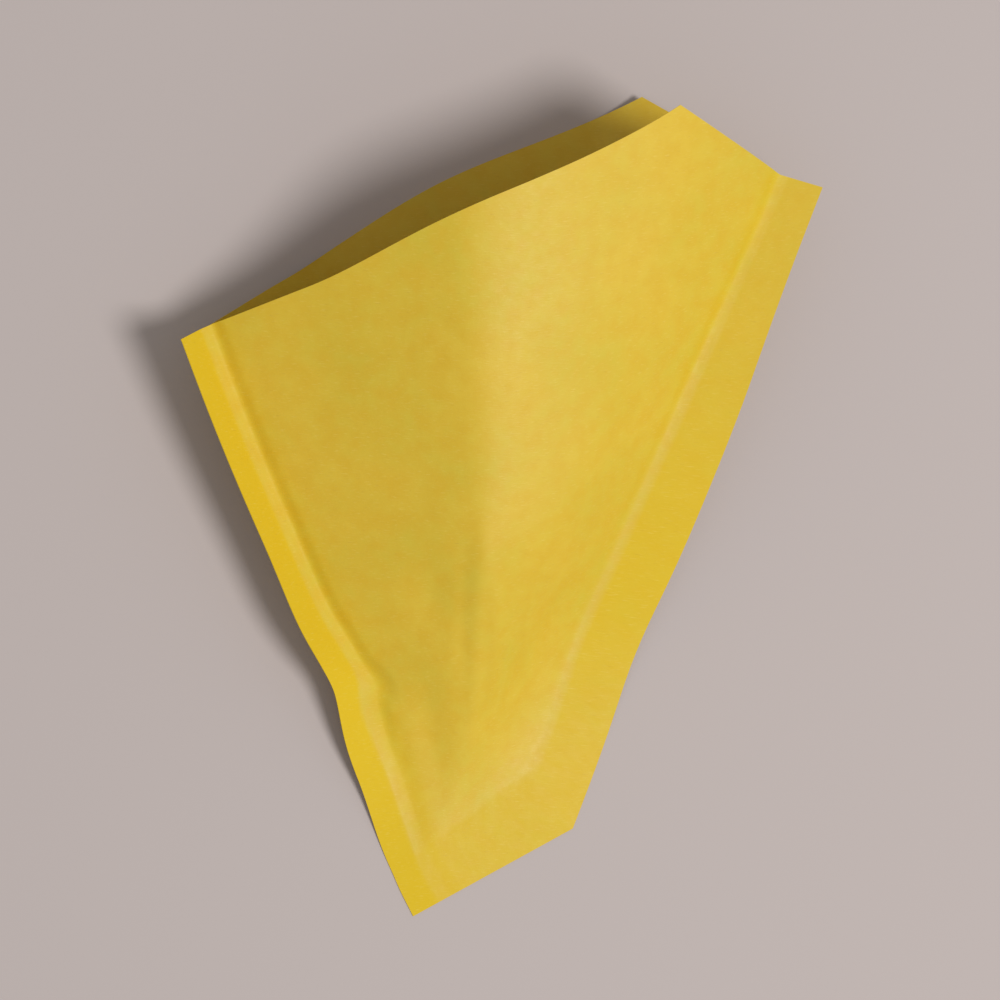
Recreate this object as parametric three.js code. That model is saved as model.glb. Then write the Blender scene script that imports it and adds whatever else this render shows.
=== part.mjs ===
import * as THREE from 'three';

// Paper cone bag, laid open on its back panel. Millimetres, +Z up, mouth towards +Y.
// Two plies of one blank are fused along both sides and the foot, then the pouch is opened.

// Blank: its seal lines run out from one apex, and every reach is measured from it
const PAPER = 0.12;
const SIDE_SEAL = 14;
const FOOT_SEAL = 18;
const APEX_ANGLE = 45.8;
const LEFT_MOUTH = 227;
const RIGHT_MOUTH = 272;
const PEAK_REACH = 284.8;
const PEAK_TURN = 12.4;
const CORNER_RISE = 1;
const LEFT_FOOT = 22.5;
const RIGHT_FOOT = 50;

// Opening: the front panel arches up, the back panel cups up beside its flat middle
const ARCH = 0.15;
const RIDGE_AT = -0.05;
const RIDGE_ROUND = 0.25;
const FALL_FROM = -0.1;
const FALL_POWER = 1.8;
const FLAT_SHARE = 0.42;
const CUP_POWER = 1.4;

// Lengths above the foot seal over which the bag narrows and rises to its open section
const FOOT_RUN = 120;
const RISE_RUN = 88;

// Fins: the sealed sides, tilted where the open panels turn them, and the valleys beside them
const LEFT_FIN_TILT = 42;
const LOW_FIN_TILT = 28;
const RIGHT_FIN_TILT = 12;
const VALLEY = 5;
const KINK_VALLEY = 11;

// Kink: the left side has buckled once, and below that its fin relaxes and its seam stands in
const KINK_REACH = 104.5;
const KINK_SKEW = 5;
const KINK_LENGTH = 14;
const KINK_INSET = 2;
const KINK_FADE = 2;

// Outlines: how each side bows out and where it is pinched in
const LEFT_BOW = 1.6;
const LEFT_PINCH = { reach: 107, length: 17, depth: 3.4 };
const RIGHT_PINCH = { reach: 112, length: 24, depth: 1.6 };
const EDGE_SPREAD = 40;

// Dents of handling in the front panel: reach, turn from the middle, length, width and depth
const DENTS = [
  { reach: 125.5, turn: -7.5, length: 12, width: 8, depth: 0.9 },
  { reach: 81.5, turn: -12, length: 16, width: 6, depth: 0.8 },
  { reach: 108.5, turn: 15.3, length: 14, width: 5, depth: 0.4 },
];

// Mesh: cells across each seal, each edge of a panel and its middle, and up the bag
const SIDE_CELLS = 3;
const FOOT_CELLS = 2;
const EDGE_TURN = 4;
const EDGE_CELLS = 5;
const MIDDLE_CELLS = 22;
const LENGTH_CELLS = 40;
const SECTION_STEPS = 400;
const HALVINGS = 40;
const STEEPEST_SEAL = 0.5;
const NARROWEST_SPREAD = 0.05;
const SLOPE_STEP = 0.02;

const PAPER_COLOUR = 0xdcb843;

const sideCells = Math.round(SIDE_CELLS);
const footCells = Math.round(FOOT_CELLS);
const edgeCells = Math.round(EDGE_CELLS);
const middleCells = Math.round(MIDDLE_CELLS);
const lengthCells = Math.round(LENGTH_CELLS);
const sectionSteps = Math.round(SECTION_STEPS);

const radians = THREE.MathUtils.degToRad;
const lerp = THREE.MathUtils.lerp;
const clamp = THREE.MathUtils.clamp;
const halfApex = radians(APEX_ANGLE / 2);

const smoothStep = (x) => {
  const s = clamp(x, 0, 1);
  return s * s * (3 - 2 * s);
};

const bell = (x) => Math.exp(-x * x);

// The lower of two heights, with the corner between them rounded off
function softMin(a, b, round) {
  const overlap = Math.max(round - Math.abs(a - b), 0) / round;
  return Math.min(a, b) - (overlap * overlap * round) / 4;
}

function bisect(low, high, isTooSmall) {
  for (let i = 0; i < HALVINGS; i++) {
    const middle = (low + high) / 2;
    if (isTooSmall(middle)) low = middle;
    else high = middle;
  }
  return (low + high) / 2;
}

// Cross-section at unit distance from the apex, from the left seal (-1) to the right (1)
function frontShape(t) {
  const climb = (t + 1) / (RIDGE_AT + 1);
  const run = clamp((t - FALL_FROM) / (1 - FALL_FROM), 0, 1);
  return softMin(climb, 1 - run ** FALL_POWER, RIDGE_ROUND);
}

function backShape(t) {
  const run = Math.max(Math.abs(t) - FLAT_SHARE, 0) / (1 - FLAT_SHARE);
  return run ** CUP_POWER;
}

const frontHeight = (t, seal) => seal + ARCH * frontShape(t);
const backHeight = (t, seal) => seal * backShape(t);

const ray = (t, spread, height) => new THREE.Vector3(spread * t, 1, height).normalize();

// Angle that the paper turns through about the apex, up to each step across the section
function turnTable(spread, heightAt) {
  const table = [0];
  let last = ray(-1, spread, heightAt(-1));
  for (let i = 1; i <= sectionSteps; i++) {
    const t = -1 + (2 * i) / sectionSteps;
    const next = ray(t, spread, heightAt(t));
    table.push(table[i - 1] + last.angleTo(next));
    last = next;
  }
  return table;
}

const totalTurn = (spread, heightAt) => turnTable(spread, heightAt)[sectionSteps];

// Paper doesn't stretch: the seal height makes both plies equally wide
function sealHeight(spread) {
  return bisect(0, STEEPEST_SEAL, (seal) => {
    const front = totalTurn(spread, (t) => frontHeight(t, seal));
    return totalTurn(spread, (t) => backHeight(t, seal)) < front;
  });
}

// The spread of the seal lines is what is left of the apex angle once the front has arched
const spread = bisect(NARROWEST_SPREAD, Math.tan(halfApex), (width) => {
  const seal = sealHeight(width);
  return totalTurn(width, (t) => frontHeight(t, seal)) < 2 * halfApex;
});
const seal = sealHeight(spread);

function makePly(heightAt) {
  return { heightAt, turns: turnTable(spread, heightAt) };
}

const front = makePly((t) => frontHeight(t, seal));
const back = makePly((t) => backHeight(t, seal));

// Step across the section that lies at an angle of the blank, measured from its left seal
function stepAt(turns, angle) {
  let low = 0;
  let high = sectionSteps;
  while (high - low > 1) {
    const middle = (low + high) >> 1;
    if (turns[middle] <= angle) low = middle;
    else high = middle;
  }
  const part = (angle - turns[low]) / (turns[high] - turns[low]);
  return -1 + (2 * (low + clamp(part, 0, 1))) / sectionSteps;
}

// A point of the flat blank, carried onto the open cone without stretching
function openCone(ply, point) {
  const t = stepAt(ply.turns, Math.atan2(point.x, point.y) + halfApex);
  return ray(t, spread, ply.heightAt(t)).multiplyScalar(point.length());
}

// Each side of the blank: along its seal line, outwards from it, and how it lies when open
function makeSide(sign, mouth, tilt, lowTilt, bow, pinch) {
  const along = new THREE.Vector2(sign * Math.sin(halfApex), Math.cos(halfApex));
  const outward = new THREE.Vector2(sign * Math.cos(halfApex), -Math.sin(halfApex));
  const line = ray(sign, spread, seal);
  const level = new THREE.Vector3(sign * line.y, -sign * line.x, 0).normalize();
  const raised = new THREE.Vector3().crossVectors(line, level).multiplyScalar(-sign);
  const isKinked = tilt !== lowTilt;
  return {
    mouth, bow, pinch, along, outward, line, level, raised, isKinked,
    tilt: radians(tilt), lowTilt: radians(lowTilt),
  };
}

const left = makeSide(-1, LEFT_MOUTH, LEFT_FIN_TILT, LOW_FIN_TILT, LEFT_BOW, LEFT_PINCH);
const right = makeSide(1, RIGHT_MOUTH, RIGHT_FIN_TILT, RIGHT_FIN_TILT, 0, RIGHT_PINCH);
const sides = [left, right];

const onBlank = (side, reach, out) =>
  side.along.clone().multiplyScalar(reach).addScaledVector(side.outward, out);

const turned = (reach, turn) =>
  new THREE.Vector2(reach * Math.sin(radians(turn)), reach * Math.cos(radians(turn)));

// A straight cut or seal of the blank, as the normal of its line and the distance along that
function lineThrough(a, b) {
  const normal = new THREE.Vector2(a.y - b.y, b.x - a.x).normalize();
  return { normal, distance: normal.dot(a) };
}

const footCut = lineThrough(
  onBlank(left, LEFT_FOOT, SIDE_SEAL),
  onBlank(right, RIGHT_FOOT, SIDE_SEAL),
);
const footSeal = { normal: footCut.normal, distance: footCut.distance + FOOT_SEAL };
for (const side of sides) side.footReach = footSeal.distance / side.along.dot(footSeal.normal);
const peak = turned(PEAK_REACH, PEAK_TURN);
const leftMouthCut = lineThrough(onBlank(left, LEFT_MOUTH, 0), peak);
const rightMouthCut = lineThrough(peak, onBlank(right, RIGHT_MOUTH, 0));

// How far below the kink a point of the blank lies, from 0 above it to 1
function belowKink(side, reach, out) {
  if (!side.isKinked) return 0;
  const bend = KINK_REACH + (KINK_SKEW * out) / SIDE_SEAL;
  return smoothStep(0.5 + (bend - reach) / KINK_LENGTH);
}

// Direction that a fin points in, away from the panels
function across(side, reach, out) {
  const tilt = lerp(side.tilt, side.lowTilt, belowKink(side, reach, out));
  return side.level.clone().multiplyScalar(Math.cos(tilt))
    .addScaledVector(side.raised, Math.sin(tilt));
}

// Width over which the panels curve away from a fin, widest just below the kink
function valley(side, reach) {
  const fade = smoothStep((KINK_REACH - reach) / (KINK_REACH - side.footReach));
  return VALLEY + (KINK_VALLEY - VALLEY) * belowKink(side, reach, 0) * (1 - fade);
}

// How far a side stands in from the straight cut, fading out into the panels
function inset(side, point) {
  const reach = point.dot(side.along);
  const out = point.dot(side.outward);
  const share = clamp((reach - side.footReach) / (side.mouth - side.footReach), 0, 1);
  const pinch = side.pinch.depth * bell((reach - side.pinch.reach) / side.pinch.length);
  const bow = side.bow * Math.sin(Math.PI * share * share);
  const aboveFoot = (reach - side.footReach) / (KINK_REACH - side.footReach);
  const kink = KINK_INSET * belowKink(side, reach, out) * smoothStep(KINK_FADE * aboveFoot);
  return (pinch - bow + kink) * smoothStep(1 + out / EDGE_SPREAD);
}

// A fin keeps its width and turns about its seal line
function openFin(side, point) {
  const reach = point.dot(side.along);
  const out = point.dot(side.outward);
  return side.line.clone().multiplyScalar(reach).addScaledVector(across(side, reach, out), out);
}

// Near a seal the panel leaves in the fin's own direction, then curves to its own slope
function openEdge(side, ply, point, width) {
  const reach = point.dot(side.along);
  const s = -point.dot(side.outward) / width;
  const start = side.line.clone().multiplyScalar(reach);
  const startRun = across(side, reach, 0).multiplyScalar(-width);
  const end = openCone(ply, onBlank(side, reach, -width));
  const beyond = openCone(ply, onBlank(side, reach, -width * (1 + SLOPE_STEP)));
  const endRun = beyond.sub(end).divideScalar(SLOPE_STEP);
  return start.multiplyScalar((2 * s - 3) * s * s + 1)
    .addScaledVector(startRun, ((s - 2) * s + 1) * s)
    .addScaledVector(end, (3 - 2 * s) * s * s)
    .addScaledVector(endRun, (s - 1) * s * s);
}

function openSheet(ply, point) {
  for (const side of sides) {
    const out = point.dot(side.outward);
    if (out > 0) return openFin(side, point);
    const width = valley(side, point.dot(side.along));
    if (-out < width) return openEdge(side, ply, point, width);
  }
  return openCone(ply, point);
}

function dentDepth(point) {
  let depth = 0;
  for (const dent of DENTS) {
    const away = point.clone().sub(turned(dent.reach, dent.turn));
    away.rotateAround(new THREE.Vector2(), radians(dent.turn));
    depth += dent.depth * bell(away.y / dent.length) * bell(away.x / dent.width);
  }
  return depth;
}

// A point of the flat blank, carried to where it lies in the opened bag
function form(ply, point) {
  const opened = openSheet(ply, point);
  const aboveFoot = point.dot(footSeal.normal) - footSeal.distance;
  const narrowed = smoothStep(aboveFoot / FOOT_RUN);
  const risen = smoothStep(aboveFoot / RISE_RUN);
  const formed = new THREE.Vector3(
    lerp(point.x, opened.x, narrowed),
    lerp(point.y, opened.y, narrowed),
    opened.z * risen,
  );
  if (ply === front) formed.z -= dentDepth(point) * risen;
  for (const side of sides) {
    const depth = inset(side, point);
    formed.x -= depth * side.outward.x;
    formed.y -= depth * side.outward.y;
  }
  return formed;
}

// Rails run up the blank from the foot cut to the mouth, one for each column of the mesh
function makeRail(start, direction, mouth) {
  const meet = (line) =>
    (line.distance - start.dot(line.normal)) / direction.dot(line.normal);
  const top = typeof mouth === 'number' ? mouth : meet(mouth);
  return { start, direction, foot: meet(footCut), seam: meet(footSeal), top };
}

function sealRail(side, share) {
  const start = side.outward.clone().multiplyScalar(SIDE_SEAL * share);
  return makeRail(start, side.along, side.mouth + CORNER_RISE * share);
}

function panelRail(angle) {
  const mouth = angle <= radians(PEAK_TURN) ? leftMouthCut : rightMouthCut;
  return makeRail(new THREE.Vector2(), new THREE.Vector2(Math.sin(angle), Math.cos(angle)), mouth);
}

// Panel rails stand close together beside the seals, and one of them runs up to the peak
function panelAngles() {
  const edge = halfApex - radians(EDGE_TURN);
  const peakAngle = radians(PEAK_TURN);
  const peakShare = (peakAngle + edge) / (2 * edge);
  const peakCells = clamp(Math.round(middleCells * peakShare), 1, middleCells - 1);
  const stops = [
    [-halfApex, -edge, edgeCells],
    [-edge, peakAngle, peakCells],
    [peakAngle, edge, middleCells - peakCells],
    [edge, halfApex, edgeCells],
  ];
  const angles = [-halfApex];
  for (const [from, to, cells] of stops) {
    for (let i = 1; i <= cells; i++) angles.push(lerp(from, to, i / cells));
  }
  return angles;
}

function makeRails() {
  const rails = panelAngles().map(panelRail);
  for (let i = 1; i <= sideCells; i++) {
    rails.unshift(sealRail(left, i / sideCells));
    rails.push(sealRail(right, i / sideCells));
  }
  return rails;
}

const rails = makeRails();
const COLUMNS = rails.length;
const ROWS = footCells + lengthCells + 1;
const firstPanel = sideCells;
const lastPanel = COLUMNS - 1 - sideCells;

function railPoint(rail, row) {
  const reach = row < footCells
    ? lerp(rail.foot, rail.seam, row / footCells)
    : lerp(rail.seam, rail.top, (row - footCells) / lengthCells);
  return rail.start.clone().addScaledVector(rail.direction, reach);
}

// Inner face of one ply, as rows of points from the foot to the mouth
function layPly(ply) {
  const rows = [];
  for (let r = 0; r < ROWS; r++) rows.push(rails.map((rail) => form(ply, railPoint(rail, r))));
  return rows;
}

// Outer face: the inner one moved out by the paper's thickness
function offsetPly(rows, thickness) {
  const inside = (index, count) => clamp(index, 0, count - 1);
  const pick = (r, c) => rows[inside(r, ROWS)][inside(c, COLUMNS)];
  return rows.map((row, r) => row.map((point, c) => {
    const sideways = new THREE.Vector3().subVectors(pick(r, c + 1), pick(r, c - 1));
    const upwards = new THREE.Vector3().subVectors(pick(r + 1, c), pick(r - 1, c));
    const normal = sideways.cross(upwards).normalize();
    return point.clone().addScaledVector(normal, thickness);
  }));
}

const frontInner = layPly(front);
const backInner = layPly(back);
const frontOuter = offsetPly(frontInner, PAPER);
const backOuter = offsetPly(backInner, -PAPER);

const positions = [];
const indices = [];

function number(rows) {
  return rows.map((row) => row.map((point) => positions.push(point.x, point.y, point.z) / 3 - 1));
}

const F = number(frontOuter);
const B = number(backOuter);
const f = number(frontInner);

// The plies share their points along the seams, so the pouch's inside closes there
const onSeam = (r, c) => r === footCells || c === firstPanel || c === lastPanel;
const b = backInner.map((row, r) => row.map((point, c) =>
  onSeam(r, c) ? f[r][c] : positions.push(point.x, point.y, point.z) / 3 - 1));

function quad(p, q, r, s) {
  indices.push(p, q, r, p, r, s);
}

// Outer faces over the whole blank
for (let r = 0; r < ROWS - 1; r++) {
  for (let c = 0; c < COLUMNS - 1; c++) {
    quad(F[r][c], F[r][c + 1], F[r + 1][c + 1], F[r + 1][c]);
    quad(B[r][c], B[r + 1][c], B[r + 1][c + 1], B[r][c + 1]);
  }
}

// Inner faces over the pouch only
for (let r = footCells; r < ROWS - 1; r++) {
  for (let c = firstPanel; c < lastPanel; c++) {
    quad(f[r][c], f[r + 1][c], f[r + 1][c + 1], f[r][c + 1]);
    quad(b[r][c], b[r][c + 1], b[r + 1][c + 1], b[r + 1][c]);
  }
}

// Cut edges: sides, foot, then the mouth with its two lips
const top = ROWS - 1;
const end = COLUMNS - 1;
for (let r = 0; r < top; r++) {
  quad(B[r][0], F[r][0], F[r + 1][0], B[r + 1][0]);
  quad(F[r][end], B[r][end], B[r + 1][end], F[r + 1][end]);
}
for (let c = 0; c < end; c++) {
  quad(B[0][c], B[0][c + 1], F[0][c + 1], F[0][c]);
  if (c >= firstPanel && c < lastPanel) {
    quad(F[top][c], F[top][c + 1], f[top][c + 1], f[top][c]);
    quad(b[top][c], b[top][c + 1], B[top][c + 1], B[top][c]);
  } else if (c + 1 === firstPanel || c === lastPanel) {
    const shared = f[top][c + 1 === firstPanel ? c + 1 : c];
    indices.push(F[top][c], F[top][c + 1], shared);
    indices.push(B[top][c + 1], B[top][c], shared);
    if (c + 1 === firstPanel) indices.push(F[top][c], shared, B[top][c]);
    else indices.push(F[top][c + 1], B[top][c + 1], shared);
  } else {
    quad(F[top][c], F[top][c + 1], B[top][c + 1], B[top][c]);
  }
}

// Only the points in use go into the mesh
function compact() {
  const places = new Map();
  const kept = [];
  const renumbered = indices.map((index) => {
    if (!places.has(index)) {
      places.set(index, kept.length / 3);
      kept.push(...positions.slice(3 * index, 3 * index + 3));
    }
    return places.get(index);
  });
  const geometry = new THREE.BufferGeometry();
  geometry.setAttribute('position', new THREE.Float32BufferAttribute(kept, 3));
  geometry.setIndex(renumbered);
  return geometry;
}

// The bag stands on z = 0, centred over the origin
function seated(geometry) {
  geometry.computeBoundingBox();
  const box = geometry.boundingBox;
  const centre = box.getCenter(new THREE.Vector3());
  geometry.translate(-centre.x, -centre.y, -box.min.z);
  geometry.computeVertexNormals();
  return geometry;
}

const paper = new THREE.MeshStandardMaterial({ color: PAPER_COLOUR, roughness: 0.8, metalness: 0 });
const bag = new THREE.Mesh(seated(compact()), paper);
bag.name = 'cone_bag';

const part = new THREE.Group();
part.name = 'paper_cone_bag';
part.add(bag);

export default part;
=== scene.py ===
import math

import bpy
import numpy as np
from mathutils import Matrix, Vector


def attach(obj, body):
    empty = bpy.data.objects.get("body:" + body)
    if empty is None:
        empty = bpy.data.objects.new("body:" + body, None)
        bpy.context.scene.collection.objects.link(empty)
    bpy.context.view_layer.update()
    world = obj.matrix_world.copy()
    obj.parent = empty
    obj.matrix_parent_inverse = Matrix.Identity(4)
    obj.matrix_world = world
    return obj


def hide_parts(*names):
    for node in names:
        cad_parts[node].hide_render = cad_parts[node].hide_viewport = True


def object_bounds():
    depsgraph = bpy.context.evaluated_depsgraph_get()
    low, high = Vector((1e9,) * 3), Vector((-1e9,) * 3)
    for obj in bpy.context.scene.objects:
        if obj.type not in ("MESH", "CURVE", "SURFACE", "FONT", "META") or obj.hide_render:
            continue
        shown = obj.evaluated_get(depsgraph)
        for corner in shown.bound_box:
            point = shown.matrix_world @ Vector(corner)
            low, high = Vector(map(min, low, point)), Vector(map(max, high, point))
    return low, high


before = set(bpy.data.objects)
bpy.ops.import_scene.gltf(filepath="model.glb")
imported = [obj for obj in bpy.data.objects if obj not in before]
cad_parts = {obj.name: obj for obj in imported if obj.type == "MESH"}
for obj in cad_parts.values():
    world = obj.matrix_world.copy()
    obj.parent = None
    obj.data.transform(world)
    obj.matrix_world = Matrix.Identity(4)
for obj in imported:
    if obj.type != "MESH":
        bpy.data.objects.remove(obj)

cad_low, cad_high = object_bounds()

# Lengths are in millimetres and angles in degrees, as in the part's source, until they are placed
MM = 0.001

# Blank: reaches are measured from the apex where the two seal lines meet
PAPER = 0.12
SIDE_SEAL = 14
FOOT_SEAL = 18
APEX_ANGLE = 45.8
LEFT_MOUTH = 227
RIGHT_MOUTH = 272
PEAK_REACH = 284.8
PEAK_TURN = 12.4
CORNER_RISE = 1
LEFT_FOOT = 22.5
RIGHT_FOOT = 50

# The mouth's cut bows out about this turn in both plies, so that the front's looks straight
MOUTH_BOW = 5
MOUTH_BOW_AT = -1
MOUTH_BOW_SPREAD = 13.4

# Opening: heights are for each unit of reach, and places across run from -1 to 1
ARCH = 0.15
RIDGE_AT = -0.05
RIDGE_ROUND = 0.25
FALL_FROM = -0.1
FALL_POWER = 1.8
FLAT_SHARE = 0.42
CUP_POWER = 1.4

# Lengths above the foot seal over which the bag widens, rises and is filled out
FOOT_RUN = 120
RISE_RUN = 88
FILL_RUN = 90

# The filled foot's ridge lies further left than the mouth's
FILL_RIDGE_AT = -0.3

# Fins, the flatter strips beside the seams and the valleys where the panels leave them. The left
# fin stands steeper than the solid's, and the kink's valley is narrower, to suit the strips
LEFT_FIN_TILT = 47
LOW_FIN_TILT = 28
RIGHT_FIN_TILT = 12
LEFT_STRIP_TILT = 25
RIGHT_STRIP_TILT = 4
LEFT_STRIP = 3.4
LOW_STRIP = 4.6
RIGHT_STRIP = 2.2
KINK_EAR = 1.5
KINK_EAR_DROP = 10
KINK_EAR_LENGTH = 9
VALLEY = 5
KINK_VALLEY = 9
SLOPE_STEP = 0.02

# Kink in the left side: the fin relaxes below it, and the seam stands in
KINK_REACH = 104.5
KINK_SKEW = 5
KINK_LENGTH = 14
KINK_INSET = 2
KINK_FADE = 2

# Outlines: the left side bows out a little, and both are pinched in once
LEFT_BOW = 1.6
LEFT_PINCH = {"reach": 107, "length": 17, "depth": 3.4}
RIGHT_PINCH = {"reach": 112, "length": 24, "depth": 1.6}
EDGE_SPREAD = 40

# The right seam runs further in below the mouth, so the seal looks broader there. This shifts
# points in plan only, so it isn't a fold of the flat blank
SEAM_DRIFT = 7
SEAM_DRIFT_RUN = 130

# How finely the section is measured, and how its shape is searched for
SECTION_STEPS = 400
HALVINGS = 40
NARROWEST_SPREAD = 0.05
HIGHEST_SEAL = 0.5

half_apex = math.radians(APEX_ANGLE / 2)


def smooth_step(x):
    s = np.clip(x, 0, 1)
    return s * s * (3 - 2 * s)


def bell(x):
    return np.exp(-np.square(x))


def soft_min(a, b, width):
    overlap = np.maximum(width - np.abs(a - b), 0) / width
    return np.minimum(a, b) - overlap * overlap * width / 4


def bisect(low, high, is_too_small):
    for _ in range(HALVINGS):
        middle = (low + high) / 2
        if is_too_small(middle):
            low = middle
        else:
            high = middle
    return (low + high) / 2


def normalised(vectors):
    return vectors / np.linalg.norm(vectors, axis=-1, keepdims=True)


# Cross-section at unit distance from the apex, from the left seal (-1) to the right (1)
def arched(t, ridge_at, fall_from):
    climb = (t + 1) / (ridge_at + 1)
    run = np.clip((t - fall_from) / (1 - fall_from), 0, 1)
    return soft_min(climb, 1 - run**FALL_POWER, RIDGE_ROUND)


def front_shape(t):
    return arched(t, RIDGE_AT, FALL_FROM)


def back_shape(t):
    return (np.maximum(np.abs(t) - FLAT_SHARE, 0) / (1 - FLAT_SHARE)) ** CUP_POWER


def front_height(t, seal):
    return seal + ARCH * front_shape(t)


def back_height(t, seal):
    return seal * back_shape(t)


def rays(t, spread, height):
    return normalised(np.stack([spread * t, np.ones_like(t), height], axis=-1))


section_steps = np.linspace(-1, 1, SECTION_STEPS + 1)


def turn_table(spread, height):
    """Angle that the paper turns through about the apex, up to each step of the section."""
    lines = rays(section_steps, spread, height)
    cosines = np.clip(np.sum(lines[1:] * lines[:-1], axis=1), -1, 1)
    return np.concatenate([[0], np.cumsum(np.arccos(cosines))])


def seal_height(spread):
    """Paper doesn't stretch: the height at which both plies are equally wide."""
    return bisect(0, HIGHEST_SEAL, lambda seal: (
        turn_table(spread, back_height(section_steps, seal))[-1]
        < turn_table(spread, front_height(section_steps, seal))[-1]))


# The spread at which that width is also the blank's own
spread = bisect(NARROWEST_SPREAD, math.tan(half_apex), lambda width: (
    turn_table(width, front_height(section_steps, seal_height(width)))[-1] < 2 * half_apex))
seal = seal_height(spread)


class Ply:
    def __init__(self, height):
        self.height = height
        self.turns = turn_table(spread, height(section_steps, seal))

    def across(self, points):
        """Place of blank points across the section, from -1 to 1."""
        turn = np.arctan2(points[..., 0], points[..., 1]) + half_apex
        return np.interp(turn, self.turns, section_steps)

    def open_cone(self, points):
        """Points of the flat blank, carried onto the open cone without stretching."""
        t = self.across(points)
        reach = np.linalg.norm(points, axis=-1, keepdims=True)
        return rays(t, spread, self.height(t, seal)) * reach


front = Ply(front_height)
back = Ply(back_height)


def below_kink(reach, out):
    """From 0 above the kink to 1 below it."""
    bend = KINK_REACH + KINK_SKEW * out / SIDE_SEAL
    return smooth_step(0.5 + (bend - reach) / KINK_LENGTH)


class Side:
    """One side of the bag: its seam, the fin outside it and the valley inside it."""

    def __init__(self, sign, mouth, tilt, low_tilt, strip_tilt, pinch, bow=0, kinked=False):
        self.mouth = mouth
        self.bow = bow
        self.pinch = pinch
        self.tilt = math.radians(tilt)
        self.low_tilt = math.radians(low_tilt)
        self.strip_tilt = math.radians(strip_tilt)
        self.kinked = kinked
        self.along = np.array([sign * math.sin(half_apex), math.cos(half_apex)])
        self.outward = np.array([sign * math.cos(half_apex), -math.sin(half_apex)])
        self.line = rays(np.array(float(sign)), spread, np.array(seal))
        self.level = normalised(np.array([sign * self.line[1], -sign * self.line[0], 0]))
        self.raised = np.cross(self.line, self.level) * -sign

    def on_blank(self, reach, out):
        return self.along * np.asarray(reach)[..., None] + self.outward * np.asarray(out)[..., None]

    def towards(self, tilt):
        """Unit direction away from the panels, turned up by a tilt."""
        tilt = np.asarray(tilt)[..., None]
        return self.level * np.cos(tilt) + self.raised * np.sin(tilt)

    def strip_width(self, reach):
        """Width of the flatter strip beside the seam, broadest where the left side is kinked."""
        if not self.kinked:
            return np.full_like(reach, RIGHT_STRIP)
        ear = KINK_EAR * bell((reach - KINK_REACH + KINK_EAR_DROP) / KINK_EAR_LENGTH)
        return LEFT_STRIP + below_kink(reach, 0) * (LOW_STRIP - LEFT_STRIP + ear)

    def valley(self, reach):
        """Width over which the panels curve away from the fin."""
        if not self.kinked:
            return np.full_like(reach, VALLEY)
        low = below_kink(reach, 0)
        fade = smooth_step((KINK_REACH - reach) / (KINK_REACH - self.foot_reach))
        return VALLEY + low * (KINK_VALLEY - VALLEY) * (1 - fade)

    def inset(self, points):
        """How far the side stands in from the straight cut, fading out into the panels."""
        reach, out = points @ self.along, points @ self.outward
        share = np.clip((reach - self.foot_reach) / (self.mouth - self.foot_reach), 0, 1)
        inset = self.pinch["depth"] * bell((reach - self.pinch["reach"]) / self.pinch["length"])
        inset = inset - self.bow * np.sin(math.pi * share * share)
        if self.kinked:
            above_foot = (reach - self.foot_reach) / (KINK_REACH - self.foot_reach)
            inset = inset + KINK_INSET * below_kink(reach, out) * smooth_step(KINK_FADE * above_foot)
        return inset * smooth_step(1 + out / EDGE_SPREAD)

    def fin(self, points):
        """Points outside the seam: first the strip, then the stiff fin."""
        reach = points @ self.along
        out = points @ self.outward
        strip = np.minimum(out, self.strip_width(reach))
        low = below_kink(reach, out) if self.kinked else 0 * reach
        fin_turn = self.towards(self.tilt + (self.low_tilt - self.tilt) * low)
        seam = self.line * reach[..., None]
        beside = self.towards(self.strip_tilt) * strip[..., None]
        return seam + beside + fin_turn * (out - strip)[..., None]

    def panel_edge(self, ply, points, opened):
        """Near the seam a panel leaves in the strip's direction and curves to its own slope."""
        reach = points @ self.along
        inward = -(points @ self.outward)
        width = self.valley(reach)
        share = np.clip(inward / width, 0, 1)[..., None]
        start = self.line * reach[..., None]
        start_run = -self.towards(self.strip_tilt) * width[..., None]
        end = ply.open_cone(self.on_blank(reach, -width))
        beyond = ply.open_cone(self.on_blank(reach, -(1 + SLOPE_STEP) * width))
        end_run = (beyond - end) / SLOPE_STEP
        s, q = share, share * share
        curve = ((2 * s - 3) * q + 1) * start + (s - 2) * q * start_run + s * start_run
        curve += (3 - 2 * s) * q * end + (s - 1) * q * end_run
        return np.where((inward < width)[..., None], curve, opened)


left = Side(-1, LEFT_MOUTH, LEFT_FIN_TILT, LOW_FIN_TILT, LEFT_STRIP_TILT, LEFT_PINCH,
            bow=LEFT_BOW, kinked=True)
right = Side(1, RIGHT_MOUTH, RIGHT_FIN_TILT, RIGHT_FIN_TILT, RIGHT_STRIP_TILT, RIGHT_PINCH)


def heading(turn):
    return np.array([math.sin(math.radians(turn)), math.cos(math.radians(turn))])


def turned(reach, turn):
    """Point of the blank at a reach from the apex, turned from the middle towards the right."""
    return reach * heading(turn)


def line_through(a, b):
    normal = normalised(np.array([a[1] - b[1], b[0] - a[0]]))
    return normal, normal @ a


foot_normal, foot_cut = line_through(
    left.on_blank(LEFT_FOOT, SIDE_SEAL), right.on_blank(RIGHT_FOOT, SIDE_SEAL))
foot_seam = foot_cut + FOOT_SEAL
for side in (left, right):
    side.foot_reach = foot_seam / (side.along @ foot_normal)
peak = turned(PEAK_REACH, PEAK_TURN)
left_cut = line_through(left.on_blank(LEFT_MOUTH, 0), peak)
right_cut = line_through(peak, right.on_blank(RIGHT_MOUTH, 0))


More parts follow.
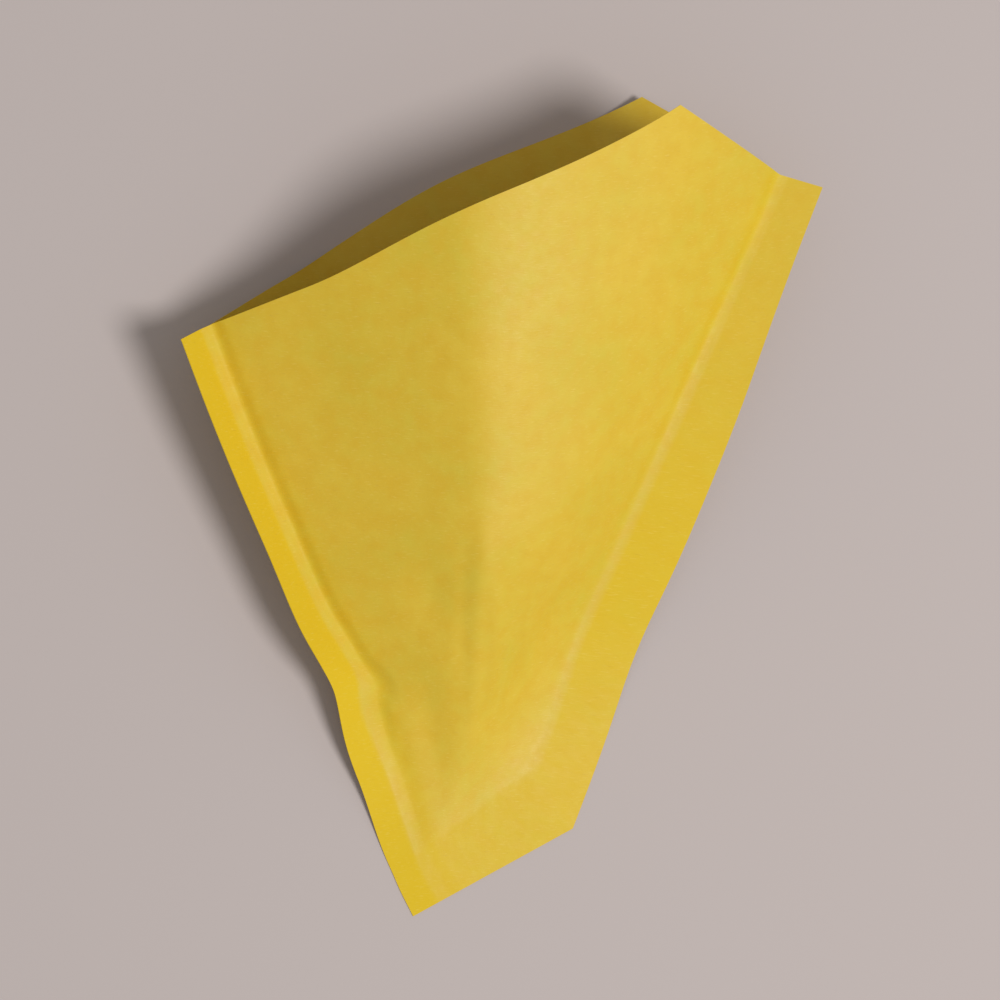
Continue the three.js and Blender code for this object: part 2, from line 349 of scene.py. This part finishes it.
def low_fill(points, above_foot, risen):
    """What the front stands higher near the foot, where the bag's filling has kept it full."""
    full = 1 - np.square(1 - np.clip(above_foot / FILL_RUN, 0, 1))
    arch = ARCH * arched(front.across(points), FILL_RIDGE_AT, FILL_RIDGE_AT)
    return np.maximum(full - risen, 0) * arch * np.linalg.norm(points, axis=-1)


def seam_drift(points):
    """How far the right seam stands in, with both edges of the seal and the foot left in place."""
    reach, out = points @ right.along, points @ right.outward
    near = smooth_step(1 - out / SIDE_SEAL) * smooth_step(1 + out / EDGE_SPREAD)
    above_cut = smooth_step((points @ foot_normal - foot_cut) / FOOT_SEAL)
    return SEAM_DRIFT * smooth_step((RIGHT_MOUTH - reach) / SEAM_DRIFT_RUN) * near * above_cut


def form(ply, points):
    """Points of the flat blank, carried to where they lie in the opened bag."""
    opened = ply.open_cone(points)
    for side in (left, right):
        opened = side.panel_edge(ply, points, opened)
    for side in (left, right):
        in_fin = (points @ side.outward > 0)[..., None]
        opened = np.where(in_fin, side.fin(points), opened)
    above_foot = points @ foot_normal - foot_seam
    narrowed = smooth_step(above_foot / FOOT_RUN)[..., None]
    risen = smooth_step(above_foot / RISE_RUN)
    formed = opened.copy()
    formed[..., :2] = points + (opened[..., :2] - points) * narrowed
    formed[..., 2] *= risen
    if ply is front:
        formed[..., 2] += low_fill(points, above_foot, risen)
    for side in (left, right):
        formed[..., :2] -= side.inset(points)[..., None] * side.outward
    formed[..., :2] -= seam_drift(points)[..., None] * right.outward
    return formed


# Relief of handling in the paper: a rise stands out of the bag, and a point is (reach, turn)
DENTS = [
    {"reach": 125.5, "turn": -7.5, "length": 12, "width": 8, "rise": -0.9},
    {"reach": 81.5, "turn": -12, "length": 16, "width": 6, "rise": -0.8},
    {"reach": 108.5, "turn": 15.3, "length": 14, "width": 5, "rise": -0.4},
]
CREASES = [
    {"low": (56, -1.6), "high": (168, -0.5), "width": 3.8, "rise": 0.65},
    {"low": (120, 0), "high": (268, -2.2), "width": 8, "rise": 0.5},
    {"low": (78, 4.6), "high": (142, 1), "width": 3, "rise": 0.65},
    {"low": (80, 8), "high": (117.5, 4.2), "width": 2, "rise": 0.3},
    {"low": (92, -3.5), "high": (145, -3.0), "width": 2.6, "rise": -0.2},
]
KINK_WRINKLES = [
    {"low": (85, -18.6), "high": (104, -24.8), "width": 3.5, "rise": 0.6},
    {"low": (72, -21.5), "high": (94, -19.5), "width": 2.4, "rise": 0.3},
]
WAVES = 9
WAVE_SEED = 11
WAVE_RISE = 0.16
WAVE_SHORTEST = 26
WAVE_LONGEST = 90
CREASE_FADE = 1 / 3
RELIEF_MARGIN = 14
CUP_RELIEF_FROM = 2
CUP_RELIEF_RUN = 5


def dent(points, reach, turn, length, width, rise):
    away = points - turned(reach, turn)
    lengthwise, sideways = away @ heading(turn), away @ heading(turn + 90)
    return rise * bell(lengthwise / length) * bell(sideways / width)


def crease(points, low, high, width, rise):
    start, end = turned(*low), turned(*high)
    run = end - start
    length = np.linalg.norm(run)
    run = run / length
    share = (points - start) @ run / length
    sideways = (points - start) @ np.array([run[1], -run[0]])
    fade = smooth_step(share / CREASE_FADE) * smooth_step((1 - share) / CREASE_FADE)
    return rise * fade * bell(sideways / width)


def waves(points, seed):
    """Faint unevenness of paper that has been handled."""
    random = np.random.default_rng(seed)
    total = np.zeros(points.shape[:-1])
    for _ in range(WAVES):
        angle = random.uniform(0, math.pi)
        length = random.uniform(WAVE_SHORTEST, WAVE_LONGEST)
        phase = random.uniform(0, 2 * math.pi)
        across = points @ np.array([math.cos(angle), math.sin(angle)])
        total += np.sin(2 * math.pi * across / length + phase)
    return WAVE_RISE * total / math.sqrt(WAVES)


def in_panel(points):
    """From 0 on the seams to 1 a margin inside them."""
    share = smooth_step((points @ foot_normal - foot_seam) / RELIEF_MARGIN)
    for side in (left, right):
        share = share * smooth_step(-(points @ side.outward) / RELIEF_MARGIN)
    return share


def front_relief(points):
    rise = waves(points, WAVE_SEED)
    for each in DENTS:
        rise = rise + dent(points, **each)
    for each in CREASES:
        rise = rise + crease(points, **each)
    rise = rise * in_panel(points)
    for each in KINK_WRINKLES:
        rise = rise + crease(points, **each)
    return rise


def back_relief(points, height):
    """Only the cupped sides are uneven: the middle rests flat."""
    cupped = smooth_step((height - CUP_RELIEF_FROM) / CUP_RELIEF_RUN)
    return waves(points, WAVE_SEED + 1) * in_panel(points) * cupped


# How strongly the seals' own colour shows, and the valleys where the paper has less sheen
FOOT_SEAL_SHOWS = 0.45
RIGHT_SEAL_SHOWS = 0.8
MOUTH_SEAL_SHOWS = 0.3
FAINT_FROM = 130
SEAL_FADE_RUN = 45
SIDE_SEAL_BLUR = 1.8
FOOT_SEAL_BLUR = 1.6
DULL_AT = 2
DULL_WIDTH = 4
DULL_SHOWS = 0.7


def fused(side, points):
    """From 0 in the strip beside the seam to 1 in the flat fin outside it."""
    outside = points @ side.outward - side.strip_width(points @ side.along)
    return smooth_step(0.5 + outside / SIDE_SEAL_BLUR)


def dull_valley(side, points):
    """From 0 in the panel to 1 in the valley along the seam."""
    return bell((points @ side.outward + DULL_AT) / DULL_WIDTH)


def near_mouth(points):
    """From 0 low on the right side to 1 at the mouth, where its seal hardly shows."""
    return smooth_step((points @ right.along - FAINT_FROM) / (RIGHT_MOUTH - FAINT_FROM))


def seal_masks(points):
    """How much each point has a seal's colour, and how much less sheen."""
    above_foot = points @ foot_normal - foot_seam
    right_shows = FOOT_SEAL_SHOWS
    right_shows += (RIGHT_SEAL_SHOWS - FOOT_SEAL_SHOWS) * smooth_step(above_foot / SEAL_FADE_RUN)
    right_shows += (MOUTH_SEAL_SHOWS - RIGHT_SEAL_SHOWS) * near_mouth(points)
    sealed = np.maximum(fused(left, points), right_shows * fused(right, points))
    at_foot = smooth_step(0.5 - above_foot / FOOT_SEAL_BLUR)
    sealed = np.maximum(sealed, FOOT_SEAL_SHOWS * at_foot)
    valleys = np.maximum(dull_valley(left, points), dull_valley(right, points) * near_mouth(points))
    return {"sealed": sealed, "dull": np.maximum(sealed, DULL_SHOWS * valleys)}


# Mesh: rails run up the blank from the foot cut to the mouth, close together at the seams
SEAL_CELLS = 14
EDGE_TURN = 6
EDGE_CELLS = 22
PANEL_CELLS = 88
FOOT_CELLS = 10
LENGTH_CELLS = 140
SHARP_ANGLE = 60
PLY_APART = 400


def panel_turns():
    """Turns of the panels' rails, with one at the peak."""
    last = APEX_ANGLE / 2
    first_part = PEAK_TURN + last - EDGE_TURN
    whole = 2 * (last - EDGE_TURN)
    before = round(PANEL_CELLS * first_part / whole)
    return np.concatenate([
        np.linspace(-last, EDGE_TURN - last, EDGE_CELLS, endpoint=False),
        np.linspace(EDGE_TURN - last, PEAK_TURN, before, endpoint=False),
        np.linspace(PEAK_TURN, last - EDGE_TURN, PANEL_CELLS - before, endpoint=False),
        np.linspace(last - EDGE_TURN, last, EDGE_CELLS + 1),
    ])


def lay_rails():
    """Blank points in rows from the foot to the mouth, and the columns of the two seams."""
    starts, directions, tops = [], [], []

    def meet(line_normal, distance, start, direction):
        return (distance - start @ line_normal) / (direction @ line_normal)

    def add_seal(side, out):
        starts.append(side.outward * out)
        directions.append(side.along)
        tops.append(side.mouth + CORNER_RISE * out / SIDE_SEAL)

    for out in np.linspace(SIDE_SEAL, 0, SEAL_CELLS, endpoint=False):
        add_seal(left, out)
    for turn in panel_turns():
        direction = heading(turn)
        cut = left_cut if turn <= PEAK_TURN else right_cut
        starts.append(np.zeros(2))
        directions.append(direction)
        bow = MOUTH_BOW * smooth_step(1 - abs(turn - MOUTH_BOW_AT) / MOUTH_BOW_SPREAD)
        tops.append(meet(*cut, np.zeros(2), direction) + bow)
    for out in np.linspace(0, SIDE_SEAL, SEAL_CELLS + 1)[1:]:
        add_seal(right, out)

    rows = []
    feet = [meet(foot_normal, foot_cut, s, d) for s, d in zip(starts, directions)]
    seams = [meet(foot_normal, foot_seam, s, d) for s, d in zip(starts, directions)]
    starts, directions = np.array(starts), np.array(directions)
    feet, seams, tops = np.array(feet), np.array(seams), np.array(tops)
    for share in np.linspace(0, 1, FOOT_CELLS, endpoint=False):
        rows.append(starts + directions * (feet + (seams - feet) * share)[:, None])
    for share in np.linspace(0, 1, LENGTH_CELLS + 1):
        rows.append(starts + directions * (seams + (tops - seams) * share)[:, None])
    return np.array(rows), SEAL_CELLS, len(starts) - 1 - SEAL_CELLS


def grid_normals(grid):
    across = np.gradient(grid, axis=1)
    along = np.gradient(grid, axis=0)
    return normalised(np.cross(across, along))


def quads(grid, flip):
    a, b, c, d = grid[:-1, :-1], grid[:-1, 1:], grid[1:, 1:], grid[1:, :-1]
    order = (a, d, c, b) if flip else (a, b, c, d)
    return np.stack(order, axis=-1).reshape(-1, 4).tolist()


def ribbon(first, second):
    """Faces between two lines of points, seen with the first line to the right of the second."""
    return [[first[i], first[i + 1], second[i + 1], second[i]] for i in range(len(first) - 1)]


def form_plies(blank):
    """Outer front, outer back, inner front and inner back points of the opened bag."""
    front_inner = form(front, blank)
    back_inner = form(back, blank)
    front_rise = grid_normals(front_inner) * front_relief(blank)[..., None]
    back_rise = grid_normals(back_inner) * back_relief(blank, back_inner[..., 2])[..., None]
    front_inner = front_inner + front_rise
    back_inner = back_inner + back_rise
    front_outer = front_inner + grid_normals(front_inner) * PAPER
    back_outer = back_inner - grid_normals(back_inner) * PAPER
    return front_outer, back_outer, front_inner, back_inner


def sheet_faces(shape, first, last):
    """Faces of one closed sheet, whose inner plies are parted only between the seams."""
    # Numbers of the points: F and B outside, f and b inside, where b shares the seams' with f
    count = shape[0] * shape[1]
    F, B, f, b = (np.arange(count).reshape(shape) + i * count for i in range(4))
    seam = np.zeros(shape, dtype=bool)
    seam[FOOT_CELLS, :] = True
    seam[:, first] = True
    seam[:, last] = True
    b = np.where(seam, f, b)

    # Both outsides, and the pouch's two insides
    faces = quads(F, False) + quads(B, True)
    pouch = (slice(FOOT_CELLS, None), slice(first, last + 1))
    faces += quads(f[pouch], True) + quads(b[pouch], False)

    # Cut edges: the two sides, the foot, the fins' ends and the mouth
    faces += ribbon(B[:, 0][::-1], F[:, 0][::-1])
    faces += ribbon(F[:, -1][::-1], B[:, -1][::-1])
    faces += ribbon(B[0], F[0])
    faces += ribbon(F[-1, :first], B[-1, :first])
    faces += ribbon(F[-1, last + 1:], B[-1, last + 1:])
    faces += ribbon(F[-1, first:last + 1], f[-1, first:last + 1])
    faces += ribbon(b[-1, first:last + 1], B[-1, first:last + 1])

    # Corners of the mouth, where a fin's end meets the shared seam point
    for inner, outer in ((first, first - 1), (last, last + 1)):
        lower, upper = min(inner, outer), max(inner, outer)
        shared = f[-1, inner]
        faces.append([F[-1, lower], F[-1, upper], shared])
        faces.append([B[-1, upper], B[-1, lower], shared])
        ends = [F[-1, outer], shared, B[-1, outer]]
        faces.append(ends if outer < inner else ends[::-1])
    return faces


def make_bag():
    blank, first, last = lay_rails()
    grids = form_plies(blank)
    faces = sheet_faces(blank.shape[:2], first, last)
    points = np.concatenate([grid.reshape(-1, 3) for grid in grids])
    used = np.zeros(len(points), dtype=bool)
    for face in faces:
        used[face] = True
    number = np.cumsum(used) - 1
    faces = [[int(number[i]) for i in face] for face in faces]
    points = points[used] * MM

    # Centred over the CAD solid's box and standing on its floor
    points[:, 0] += (cad_low.x + cad_high.x) / 2 - (points[:, 0].min() + points[:, 0].max()) / 2
    points[:, 1] += (cad_low.y + cad_high.y) / 2 - (points[:, 1].min() + points[:, 1].max()) / 2
    points[:, 2] += cad_low.z - points[:, 2].min()

    mesh = bpy.data.meshes.new("bag")
    mesh.from_pydata(points.tolist(), [], faces)
    mesh.shade_smooth()
    mesh.set_sharp_from_angle(angle=math.radians(SHARP_ANGLE))

    # The flat blank is the paper's own map, with its plies laid side by side
    loops = np.zeros(len(mesh.loops), dtype=np.int32)
    mesh.loops.foreach_get("vertex_index", loops)
    flat = np.concatenate([blank.reshape(-1, 2) + [PLY_APART * i, 0] for i in range(len(grids))])
    flat = flat[used] * MM
    layer = mesh.uv_layers.new(name="blank")
    layer.data.foreach_set("uv", flat[loops].astype(np.float32).ravel())
    for name, values in seal_masks(blank).items():
        mask = mesh.attributes.new(name, "FLOAT", "POINT")
        tiled = np.tile(values.ravel(), len(grids))
        mask.data.foreach_set("value", tiled[used].astype(np.float32))
    return bpy.data.objects.new("bag_sheet", mesh)


# Materials
def feed(tree, socket, value):
    """Link a socket's output into another, or set a plain value on it."""
    if isinstance(value, bpy.types.NodeSocket):
        tree.links.new(value, socket)
    else:
        socket.default_value = value


class Nodes:
    """Short calls for building a node tree."""

    def __init__(self, name):
        self.material = bpy.data.materials.new(name)
        self.material.use_nodes = True
        self.tree = self.material.node_tree
        self.shader = self.tree.nodes["Principled BSDF"]

    def add(self, kind, **inputs):
        node = self.tree.nodes.new(kind)
        for name, value in inputs.items():
            self.put(node, name.replace("_", " "), value)
        return node

    def put(self, node, name, value):
        feed(self.tree, node.inputs[name], value)

    def attribute(self, name):
        node = self.add("ShaderNodeAttribute")
        node.attribute_name = name
        return node.outputs["Fac"]

    def math(self, operation, a, b):
        node = self.tree.nodes.new("ShaderNodeMath")
        node.operation = operation
        for socket, value in zip(node.inputs, (a, b)):
            feed(self.tree, socket, value)
        return node.outputs[0]

    def noise(self, coordinates, scale, detail=2):
        node = self.add("ShaderNodeTexNoise", Vector=coordinates, Scale=scale, Detail=detail)
        return node.outputs["Fac"]

    def stretched(self, coordinates, angle, x, y):
        node = self.add("ShaderNodeMapping", Vector=coordinates)
        node.inputs["Rotation"].default_value[2] = math.radians(angle)
        node.inputs["Scale"].default_value = (x, y, 1)
        return node.outputs[0]

    def ranged(self, value, between, to):
        """A value carried from one range to another, and held at its ends."""
        limits = {"From_Min": between[0], "From_Max": between[1], "To_Min": to[0], "To_Max": to[1]}
        return self.add("ShaderNodeMapRange", Value=value, **limits).outputs[0]

    def mix(self, share, a, b):
        """Two colours mixed: a mix node has sockets of one name for each kind of data."""
        node = self.tree.nodes.new("ShaderNodeMix")
        node.data_type = "RGBA"
        by_id = {socket.identifier: socket for socket in node.inputs}
        feed(self.tree, by_id["Factor_Float"], share)
        feed(self.tree, by_id["A_Color"], a)
        feed(self.tree, by_id["B_Color"], b)
        return {socket.identifier: socket for socket in node.outputs}["Result_Color"]


STRAW = (0.70, 0.475, 0.029, 1)
STRAW_DEEP = (0.67, 0.415, 0.013, 1)
STRAW_GREEN = (0.62, 0.47, 0.028, 1)
STRAW_SEALED = (0.70, 0.473, 0.016, 1)
FIBRE_LIGHT = (0.80, 0.60, 0.12, 1)
FIBRE_DARK = (0.50, 0.30, 0.03, 1)

# Scales of the paper's noise, for each metre of the blank
CLOUDS = 28
BLOTCHES = 150
CRUMPLES = 220
SHEEN = 320
GRAIN = 1500
FIBRES = {"angle": 12, "x": 420, "y": 2600}
CROSS_FIBRES = {"angle": 74, "x": 380, "y": 2300}

# Ranges of noise over which a layer shows, and how much it shows
PATCHES_AT = (0.35, 0.65)
CLOUDS_SHOW = (0, 0.8)
BLOTCHES_SHOW = (0, 0.6)
LIGHT_FIBRES_AT = (0.58, 0.75)
LIGHT_FIBRES_SHOW = (0, 0.35)
DARK_FIBRES_AT = (0.62, 0.78)
DARK_FIBRES_SHOW = (0, 0.3)
SEALED_DEEPER = 0.8

SHEEN_AT = (0.3, 0.7)
ROUGHNESS = (0.48, 0.58)
DULL_ROUGHER = 0.12
SPECULAR = 0.5
DULL_SPECULAR_LOSS = 0.38
GRAIN_RELIEF = 0.5
FIBRE_RELIEF = 0.6
CROSS_FIBRE_RELIEF = 0.4
CRUMPLE_RELIEF = 2
RELIEF_STRENGTH = 0.35
RELIEF_HEIGHT = 0.12


def straw_colour(n, place, sealed, fibres, cross_fibres):
    """Mottled straw, deeper where it is sealed, with light and dark fibres."""
    clouds = n.ranged(n.noise(place, CLOUDS, 3), PATCHES_AT, CLOUDS_SHOW)
    blotches = n.ranged(n.noise(place, BLOTCHES, 3), PATCHES_AT, BLOTCHES_SHOW)
    colour = n.mix(clouds, STRAW, STRAW_GREEN)
    colour = n.mix(blotches, colour, STRAW_DEEP)
    colour = n.mix(n.math("MULTIPLY", sealed, SEALED_DEEPER), colour, STRAW_SEALED)
    colour = n.mix(n.ranged(fibres, LIGHT_FIBRES_AT, LIGHT_FIBRES_SHOW), colour, FIBRE_LIGHT)
    return n.mix(n.ranged(cross_fibres, DARK_FIBRES_AT, DARK_FIBRES_SHOW), colour, FIBRE_DARK)


def straw_relief(n, place, fibres, cross_fibres):
    """Fine relief of the grain, the fibres and the crumpled surface."""
    height = n.math("MULTIPLY", n.noise(place, GRAIN), GRAIN_RELIEF)
    crumples = n.noise(place, CRUMPLES, 3)
    layers = ((fibres, FIBRE_RELIEF), (cross_fibres, CROSS_FIBRE_RELIEF), (crumples, CRUMPLE_RELIEF))
    for layer, share in layers:
        height = n.math("ADD", height, n.math("MULTIPLY", layer, share))
    relief = n.add("ShaderNodeBump", Height=height, Strength=RELIEF_STRENGTH)
    n.put(relief, "Distance", RELIEF_HEIGHT * MM)
    return relief.outputs[0]


def straw_paper():
    n = Nodes("straw_paper")
    place = n.add("ShaderNodeUVMap").outputs[0]
    dull = n.attribute("dull")
    fibres = n.noise(n.stretched(place, **FIBRES), 1)
    cross_fibres = n.noise(n.stretched(place, **CROSS_FIBRES), 1)
    colour = straw_colour(n, place, n.attribute("sealed"), fibres, cross_fibres)
    rough = n.ranged(n.noise(place, SHEEN), SHEEN_AT, ROUGHNESS)
    rough = n.math("ADD", rough, n.math("MULTIPLY", dull, DULL_ROUGHER))
    specular = n.math("SUBTRACT", SPECULAR, n.math("MULTIPLY", dull, DULL_SPECULAR_LOSS))
    n.put(n.shader, "Base Color", colour)
    n.put(n.shader, "Roughness", rough)
    n.put(n.shader, "Specular IOR Level", specular)
    n.put(n.shader, "Normal", straw_relief(n, place, fibres, cross_fibres))
    return n.material


FLOOR_COLOUR = (0.494, 0.431, 0.411, 1)
FLOOR_ROUGHNESS = 0.9
FLOOR_SPECULAR = 0.1
FLOOR_HALF_SIDE = 3
FLOOR_GAP = 0.1


def plain_floor():
    n = Nodes("floor")
    n.put(n.shader, "Base Color", FLOOR_COLOUR)
    n.put(n.shader, "Roughness", FLOOR_ROUGHNESS)
    n.put(n.shader, "Specular IOR Level", FLOOR_SPECULAR)
    return n.material


# Camera: the photograph looks down on the bag from a little to its left and beyond its mouth.
# The angles are in radians, the distance in metres and the target in the blank's frame
VIEW_FROM_LEFT = 0.192
VIEW_FROM_MOUTH = 0.091
VIEW_ROLL = 0.029
VIEW_DISTANCE = 0.9
MM_PER_PIXEL = 0.32
IMAGE_SIDE = 1000
VIEW_TARGET = (9.3, 150.9, 10.0)


def make_camera(shift):
    data = bpy.data.cameras.new("camera")
    data.lens = data.sensor_width * VIEW_DISTANCE / (MM_PER_PIXEL * MM * IMAGE_SIDE)
    back = Vector((-math.sin(VIEW_FROM_LEFT), math.sin(VIEW_FROM_MOUTH), 0))
    back.z = math.sqrt(1 - back.length_squared)
    up = Vector((math.sin(VIEW_ROLL), math.cos(VIEW_ROLL), 0))
    up = (up - back * up.dot(back)).normalized()
    across = up.cross(back)
    camera = bpy.data.objects.new("camera", data)
    turn = Matrix((across, up, back)).transposed().to_4x4()
    target = Vector(VIEW_TARGET) * MM + shift
    camera.matrix_world = Matrix.Translation(target + back * VIEW_DISTANCE) @ turn
    bpy.context.scene.collection.objects.link(camera)
    bpy.context.scene.camera = camera


# Light: one large soft lamp above the right side, a little towards the foot, and an even sky
KEY_DIRECTION = (0.4, -0.14, 0.89)
KEY_DISTANCE = 2.6
KEY_SIZE = 0.9
KEY_POWER = 46.5
SKY_STRENGTH = 0.41


def make_key_light():
    data = bpy.data.lights.new("key", "AREA")
    data.shape = "DISK"
    data.size = KEY_SIZE
    data.energy = KEY_POWER
    lamp = bpy.data.objects.new("key", data)
    away = Vector(KEY_DIRECTION).normalized()
    lamp.location = away * KEY_DISTANCE
    lamp.rotation_mode = "QUATERNION"
    lamp.rotation_quaternion = away.to_track_quat("Z", "Y")
    bpy.context.scene.collection.objects.link(lamp)


def make_sky():
    world = bpy.data.worlds.new("world")
    world.use_nodes = True
    background = world.node_tree.nodes["Background"]
    background.inputs[0].default_value = (1, 1, 1, 1)
    background.inputs[1].default_value = SKY_STRENGTH
    bpy.context.scene.world = world


def make_floor():
    side = FLOOR_HALF_SIDE
    mesh = bpy.data.meshes.new("floor")
    corners = [(-side, -side, 0), (side, -side, 0), (side, side, 0), (-side, side, 0)]
    mesh.from_pydata(corners, [], [(0, 1, 2, 3)])
    mesh.materials.append(plain_floor())
    floor = bpy.data.objects.new("floor", mesh)
    floor.location.z = cad_low.z - FLOOR_GAP * MM
    bpy.context.scene.collection.objects.link(floor)


def apex_place():
    """Where the blank's apex lies in the row's frame, from the two corners that touch the box."""
    left_corner = form(front, left.on_blank(LEFT_MOUTH + CORNER_RISE, SIDE_SEAL)[None])[0] * MM
    low_corner = form(front, left.on_blank(LEFT_FOOT, SIDE_SEAL)[None])[0] * MM
    return Vector((cad_low.x - left_corner[0], cad_low.y - low_corner[1], 0))


bag = make_bag()
bpy.context.scene.collection.objects.link(bag)
bag.data.materials.append(straw_paper())
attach(bag, "root")
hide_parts("cone_bag")

make_floor()
make_key_light()
make_sky()
make_camera(apex_place())

scene = bpy.context.scene
scene.view_settings.view_transform = "Standard"
